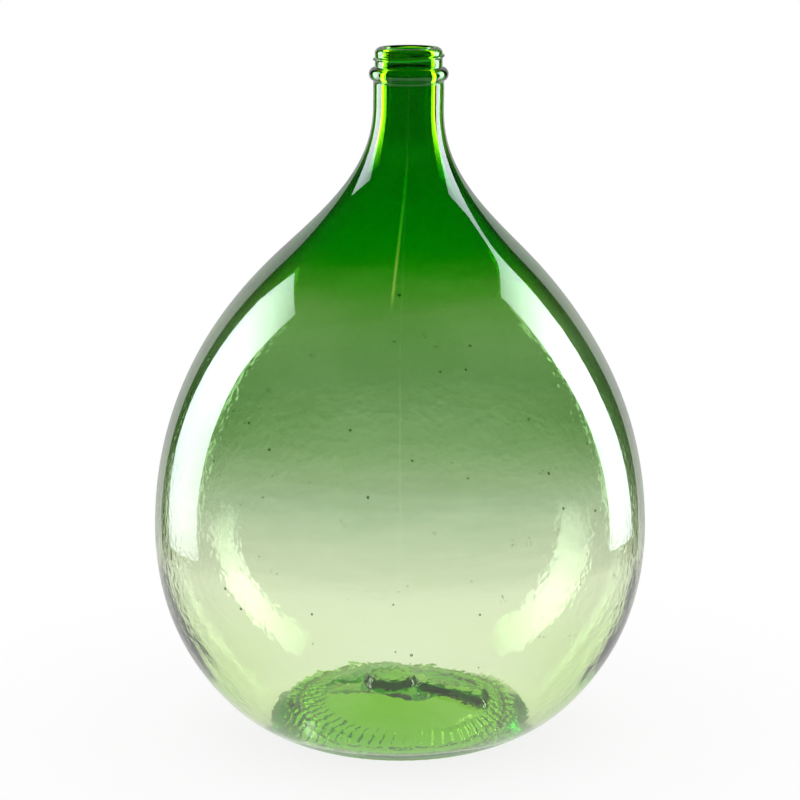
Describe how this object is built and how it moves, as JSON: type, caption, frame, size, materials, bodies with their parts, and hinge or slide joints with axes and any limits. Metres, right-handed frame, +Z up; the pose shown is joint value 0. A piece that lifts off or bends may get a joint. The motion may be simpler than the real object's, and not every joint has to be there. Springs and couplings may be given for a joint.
{
  "type": "demijohn",
  "caption": "Bare green glass demijohn: a pear-shaped bottle with a pushed-up base, a long shoulder, and a short collared neck with an open screw-threaded mouth, for storing liquids.",
  "frame": {"origin": "on the table, at the middle of the flat ring that the bottle stands on", "axes": "+Z up along the bottle from its base to its mouth, +X towards the side to which the neck leans"},
  "size_m": [0.46, 0.46, 0.6465],
  "materials": {
    "deep_green_glass": "clear, glossy, thick",
    "mid_green_glass": "clear, glossy, slightly rippled",
    "pale_green_glass": "clear, glossy, rippled inside",
    "base_green_glass": "clear, glossy, thick, ribbed below"
  },
  "bodies": {
    "root": {"base_punt": "base_green_glass", "lower_belly": "pale_green_glass", "middle_belly": "pale_green_glass", "upper_belly": "mid_green_glass", "lower_shoulder": "mid_green_glass", "upper_shoulder": "deep_green_glass", "neck": "deep_green_glass", "collar": "deep_green_glass", "threaded_mouth": "deep_green_glass"}
  },
  "joints": []
}
